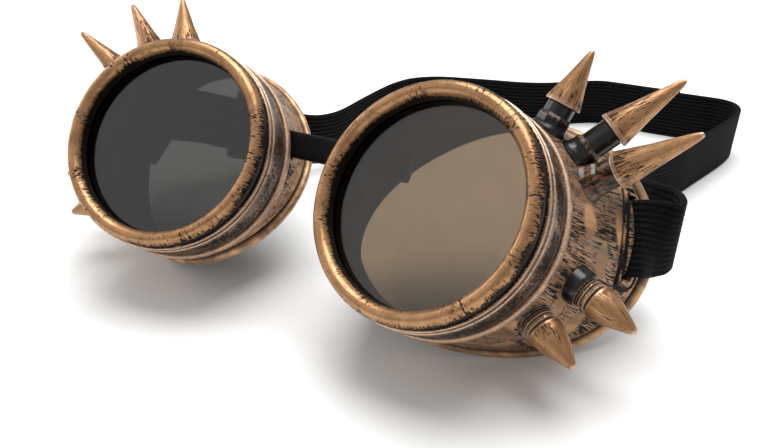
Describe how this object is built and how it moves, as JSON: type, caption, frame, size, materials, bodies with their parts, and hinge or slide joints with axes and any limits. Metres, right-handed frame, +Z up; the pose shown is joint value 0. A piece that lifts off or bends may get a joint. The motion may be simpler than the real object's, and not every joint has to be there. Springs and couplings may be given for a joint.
{
  "type": "steampunk goggles",
  "caption": "Spiked steampunk goggles lying face up: smoked round lenses in unscrewing rings, flared eye cups, a rubber nose strip and an elastic head strap with a slider.",
  "frame": {"origin": "middle of the base of the part's bounding box, on the table that the goggles lie on", "axes": "+X to the right as the picture shows the lenses, which is to the wearer's left; +Y from the lenses to the head strap behind them; +Z up from the table"},
  "size_m": [0.1914, 0.208, 0.0723],
  "materials": {
    "copper": "satin, brushed antique copper coat on plastic",
    "aged_copper": "satin, copper strokes over black plastic",
    "smoke_lens": "gloss, smoked",
    "rubber": "matte black",
    "elastic": "matte black woven elastic",
    "black_plastic": "gloss black"
  },
  "bodies": {
    "bridge": {"bridge_strap": "rubber"},
    "bridge_end_right": {"bridge_plug_right": "rubber"},
    "bridge_end_left": {"bridge_plug_left": "rubber"},
    "right_cup": {"eye_cup_right": "aged_copper", "lens_seal_right": "rubber", "long_spike_top_right": "copper", "long_spike_upper_right": "copper", "long_spike_side_right": "copper", "short_spike_low_right": "copper", "short_spike_temple_right": "copper", "strap_end_right": "elastic"},
    "right_lens": {"lens_right": "smoke_lens"},
    "right_ring": {"screw_ring_right": "copper"},
    "right_strap": {"head_strap_right": "elastic"},
    "left_cup": {"eye_cup_left": "aged_copper", "lens_seal_left": "rubber", "long_spike_top_left": "copper", "long_spike_upper_left": "copper", "long_spike_side_left": "copper", "short_spike_low_left": "copper", "short_spike_temple_left": "copper", "strap_end_left": "elastic"},
    "left_lens": {"lens_left": "smoke_lens"},
    "left_ring": {"screw_ring_left": "copper"},
    "left_strap": {"head_strap_left": "elastic"},
    "slider": {"strap_slider": "black_plastic"}
  },
  "joints": [
    {"name": "flex_left", "type": "hinge", "parent": "bridge", "child": "bridge_end_left", "pos_m": [-0.0081, -0.06039, 0.03957], "axis": [0, 0, 1], "range_deg": [-8, 8], "stiffness_Nm_per_rad": 0.06},
    {"name": "width_left", "type": "slide", "parent": "bridge_end_left", "child": "left_cup", "axis": [-1, 0, 0], "range_m": [-0.004, 0.0004]},
    {"name": "lens_travel_left", "type": "slide", "parent": "left_cup", "child": "left_lens", "axis": [0.1564, -0.7708, 0.6175], "range_m": [0, 0.0061]},
    {"name": "ring_turn_left", "type": "hinge", "parent": "left_lens", "child": "left_ring", "pos_m": [-0.0414, -0.08483, 0.04505], "axis": [0.1564, -0.7708, 0.6175], "range_deg": [0, 720]},
    {"name": "temple_left", "type": "hinge", "parent": "left_cup", "child": "left_strap", "pos_m": [-0.09322, -0.04391, 0.027], "axis": [0, 0, 1], "range_deg": [-8.1, 8.1]},
    {"name": "flex_right", "type": "hinge", "parent": "bridge", "child": "bridge_end_right", "pos_m": [0.0017, -0.06039, 0.03957], "axis": [0, 0, 1], "range_deg": [-8, 8]},
    {"name": "width_right", "type": "slide", "parent": "bridge_end_right", "child": "right_cup", "axis": [1, 0, 0], "range_m": [-0.004, 0.0004]},
    {"name": "lens_travel_right", "type": "slide", "parent": "right_cup", "child": "right_lens", "axis": [-0.1564, -0.7708, 0.6175], "range_m": [0, 0.0061]},
    {"name": "ring_turn_right", "type": "hinge", "parent": "right_lens", "child": "right_ring", "pos_m": [0.035, -0.08483, 0.04505], "axis": [-0.1564, -0.7708, 0.6175], "range_deg": [0, 720]},
    {"name": "temple_right", "type": "hinge", "parent": "right_cup", "child": "right_strap", "pos_m": [0.08682, -0.04391, 0.027], "axis": [0, 0, 1], "range_deg": [-8.1, 8.1]},
    {"name": "slider_slide", "type": "slide", "parent": "left_strap", "child": "slider", "axis": [0.7887, 0.5521, -0.2704], "range_m": [-0.004, 0.004]}
  ],
  "couplings": [
    {"joint": "flex_right", "follows": "flex_left", "ratio": -1},
    {"joint": "temple_left", "follows": "flex_left", "ratio": -1},
    {"joint": "temple_right", "follows": "flex_left", "ratio": 1},
    {"joint": "lens_travel_left", "follows": "ring_turn_left", "m_per_rad": 0.00047746},
    {"joint": "lens_travel_right", "follows": "ring_turn_right", "m_per_rad": 0.00047746}
  ]
}
